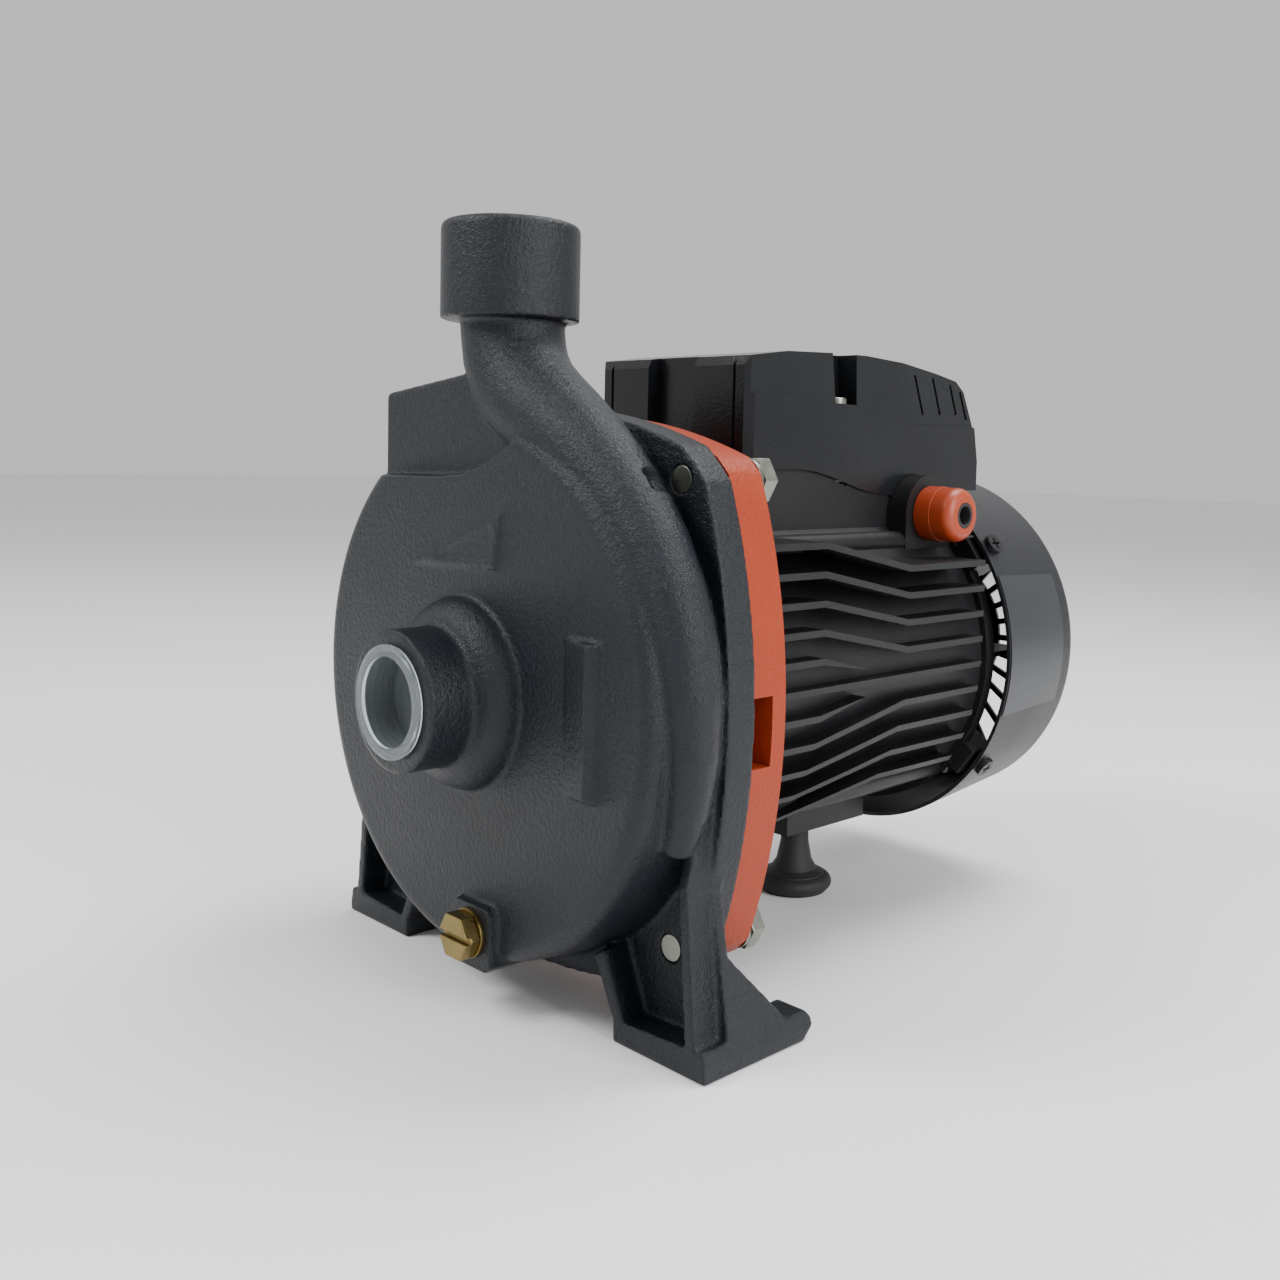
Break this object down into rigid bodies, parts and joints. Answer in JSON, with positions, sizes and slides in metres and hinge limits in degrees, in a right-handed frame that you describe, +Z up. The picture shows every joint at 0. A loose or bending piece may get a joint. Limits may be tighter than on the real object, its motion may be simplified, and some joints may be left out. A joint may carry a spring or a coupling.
{
  "type": "centrifugal water pump",
  "caption": "Close-coupled centrifugal water pump: cast volute casing with threaded ports and slotted feet, bracket, finned motor, fan cover and terminal box.",
  "frame": {"origin": "on the floor, on the shaft's centre plane, midway between the front and back ends of the feet", "axes": "+Z up through the discharge port; +Y along the shaft from the suction port to the fan; +X towards the cable gland's side"},
  "size_m": [0.1862, 0.2786, 0.24],
  "materials": {
    "cast_paint": "dark blue-grey paint over rough casting",
    "orange_paint": "orange paint over casting",
    "black_aluminium": "satin black paint",
    "black_sheet": "black wrinkle paint",
    "gloss_lid": "gloss black",
    "orange_plastic": "satin",
    "plug_plastic": "translucent, satin",
    "black_plastic": "satin",
    "label": "satin foil, blank",
    "capacitor": "gloss",
    "ceramic": "matte",
    "rubber": "matte",
    "brass": "machined",
    "copper": "varnished wire",
    "zinc": "zinc plated",
    "steel": "turned",
    "bearing_steel": "ground",
    "lamination": "stacked sheet",
    "black_screw": "satin black"
  },
  "bodies": {
    "pump_body": {"pump_casing": "cast_paint", "discharge_branch": "cast_paint", "foot_left": "cast_paint", "foot_right": "cast_paint", "drain_plug": "brass", "drain_plug_washer": "brass", "seal_seat": "ceramic", "casing_o_ring": "rubber", "bracket": "orange_paint", "casing_bolts": "zinc", "bolt_washers": "zinc", "front_bearing_outer_ring": "bearing_steel", "rear_bearing_outer_ring": "bearing_steel", "bearing_wave_washer": "steel", "stator_core": "lamination", "stator_windings": "copper", "motor_housing": "black_aluminium", "rear_endshield": "black_aluminium", "tie_rods": "zinc", "tie_rod_nuts": "zinc", "fan_cover": "black_sheet", "fan_cover_screws": "black_screw", "rating_label": "label", "terminal_box_lid": "gloss_lid", "lid_gasket": "rubber", "lid_screws": "zinc", "terminal_block": "ceramic", "terminal_screws": "brass", "run_capacitor": "capacitor", "capacitor_clip": "steel", "gland_body": "orange_plastic", "gland_cap_nut": "orange_plastic", "gland_grommet": "rubber", "motor_stand": "rubber", "stand_screw": "zinc", "earth_screw": "zinc"},
    "rotor": {"shaft": "steel", "rotor_core": "lamination", "impeller": "brass", "impeller_key": "steel", "impeller_nut": "steel", "seal_carbon_ring": "black_plastic", "seal_spring": "steel", "seal_cup": "rubber", "water_slinger": "rubber", "front_bearing_inner_ring": "bearing_steel", "rear_bearing_inner_ring": "bearing_steel", "cooling_fan": "black_plastic", "fan_circlip": "steel"},
    "front_ball_set": {"front_bearing_balls": "bearing_steel"},
    "rear_ball_set": {"rear_bearing_balls": "bearing_steel"},
    "plug": {"suction_port_plug": "plug_plastic"}
  },
  "joints": [
    {"name": "rotor_spin", "type": "hinge", "parent": "pump_body", "child": "rotor", "pos_m": [0, 0, 0.0964], "axis": [0, 1, 0], "continuous": true},
    {"name": "front_balls_spin", "type": "hinge", "parent": "pump_body", "child": "front_ball_set", "pos_m": [0, 0, 0.0964], "axis": [0, 1, 0], "continuous": true},
    {"name": "rear_balls_spin", "type": "hinge", "parent": "pump_body", "child": "rear_ball_set", "pos_m": [0, 0, 0.0964], "axis": [0, 1, 0], "continuous": true},
    {"name": "plug_pull", "type": "slide", "parent": "pump_body", "child": "plug", "axis": [0, -1, 0], "range_m": [0, 0.03]}
  ],
  "couplings": [
    {"joint": "front_balls_spin", "follows": "rotor_spin", "ratio": 0.38},
    {"joint": "rear_balls_spin", "follows": "rotor_spin", "ratio": 0.38}
  ]
}
